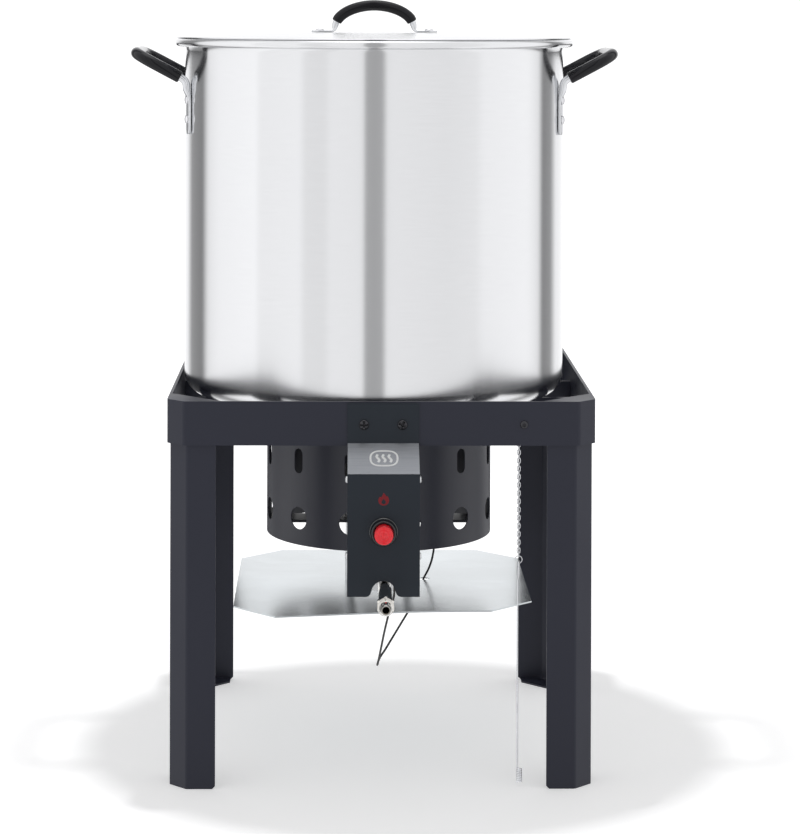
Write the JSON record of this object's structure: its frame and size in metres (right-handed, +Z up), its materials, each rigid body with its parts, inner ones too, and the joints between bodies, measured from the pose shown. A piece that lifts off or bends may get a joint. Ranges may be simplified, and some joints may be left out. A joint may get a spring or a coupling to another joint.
{
  "type": "turkey fryer kit",
  "caption": "Lidded aluminium stock pot on a square steel stand with a cast-iron gas burner, wind guard, heat shield, push-button igniter box and a match holder on a chain.",
  "frame": {"origin": "on the floor, under the burner's axis and midway between the four feet", "axes": "+Z up, +X to the right of someone facing the control box, -Y towards the front, where the control box and the gas inlet are"},
  "size_m": [0.5188, 0.5601, 0.7892],
  "materials": {
    "powder_coat": "dark blue-black satin powder coat",
    "guard_paint": "black heat-resistant paint",
    "cast_iron": "sand-cast, black",
    "zinc_plate": "zinc plated",
    "galvanised": "smooth galvanised sheet",
    "brass": "turned",
    "nickel": "nickel plated",
    "chrome": "plated wire",
    "electrode_steel": "heat-resisting steel rod",
    "ceramic": "glazed ceramic",
    "black_screw": "black zinc",
    "igniter_plastic": "black moulded plastic",
    "red_plastic": "glossy red",
    "wire_sleeve": "black silicone sleeve",
    "aluminium": "spun and lightly polished",
    "rivet": "polished heads",
    "handle_steel": "polished steel rod",
    "grip": "glossy black sleeve"
  },
  "bodies": {
    "stand": {"top_band": "powder_coat", "leg_front_left": "powder_coat", "leg_front_right": "powder_coat", "leg_back_left": "powder_coat", "leg_back_right": "powder_coat", "corner_gussets": "powder_coat", "cross_bars": "powder_coat", "long_bars": "powder_coat", "wind_guard": "guard_paint", "burner_bracket": "guard_paint", "burner_head": "cast_iron", "burner_venturi": "cast_iron", "gas_orifice": "brass", "gas_pipe": "nickel", "gas_inlet": "nickel", "pipe_saddle": "zinc_plate", "saddle_screws": "zinc_plate", "electrode_ceramic": "ceramic", "electrode_pin": "electrode_steel", "heat_shield": "galvanised", "shield_bolts": "zinc_plate", "shield_spacers": "zinc_plate", "shield_nuts": "zinc_plate", "box_cover": "powder_coat", "box_bracket": "zinc_plate", "flange_screws": "black_screw", "flange_nuts": "zinc_plate", "side_screws": "zinc_plate", "igniter_bezel": "igniter_plastic", "igniter_body": "igniter_plastic", "igniter_nut": "igniter_plastic", "igniter_spring": "chrome", "igniter_terminal": "brass", "igniter_wire": "wire_sleeve", "holder_screw": "black_screw", "holder_nut": "zinc_plate"},
    "air_shutter": {"air_shutter": "zinc_plate"},
    "igniter_button": {"igniter_button": "red_plastic"},
    "chain": {"chain_eye": "chrome", "chain": "chrome"},
    "match_holder": {"split_ring": "chrome", "match_rod": "chrome"},
    "pot": {"pot": "aluminium", "handle_left": "handle_steel", "handle_right": "handle_steel", "grip_left": "grip", "grip_right": "grip", "handle_rivets": "rivet"},
    "lid": {"lid": "aluminium", "lid_handle": "handle_steel", "lid_grip": "grip", "lid_rivets": "rivet"}
  },
  "joints": [
    {"name": "pot_lift", "type": "slide", "parent": "stand", "child": "pot", "axis": [0, 0, 1], "range_m": [0, 0.2]},
    {"name": "lid_lift", "type": "slide", "parent": "pot", "child": "lid", "axis": [0, 0, 1], "range_m": [0, 0.45]},
    {"name": "igniter_press", "type": "slide", "parent": "stand", "child": "igniter_button", "axis": [0, 1, 0], "range_m": [0, 0.004], "stiffness_N_per_m": 900},
    {"name": "air_shutter_turn", "type": "hinge", "parent": "stand", "child": "air_shutter", "pos_m": [0.0026, -0.167, 0.2095], "axis": [0, 1, 0], "range_deg": [0, 60]},
    {"name": "chain_swing", "type": "hinge", "parent": "stand", "child": "chain", "pos_m": [0.1421, -0.205, 0.365], "axis": [0, 1, 0], "range_deg": [-4, 15]},
    {"name": "holder_swing", "type": "hinge", "parent": "chain", "child": "match_holder", "pos_m": [0.1376, -0.205, 0.23065], "axis": [0, 1, 0], "range_deg": [-5, 15]}
  ]
}
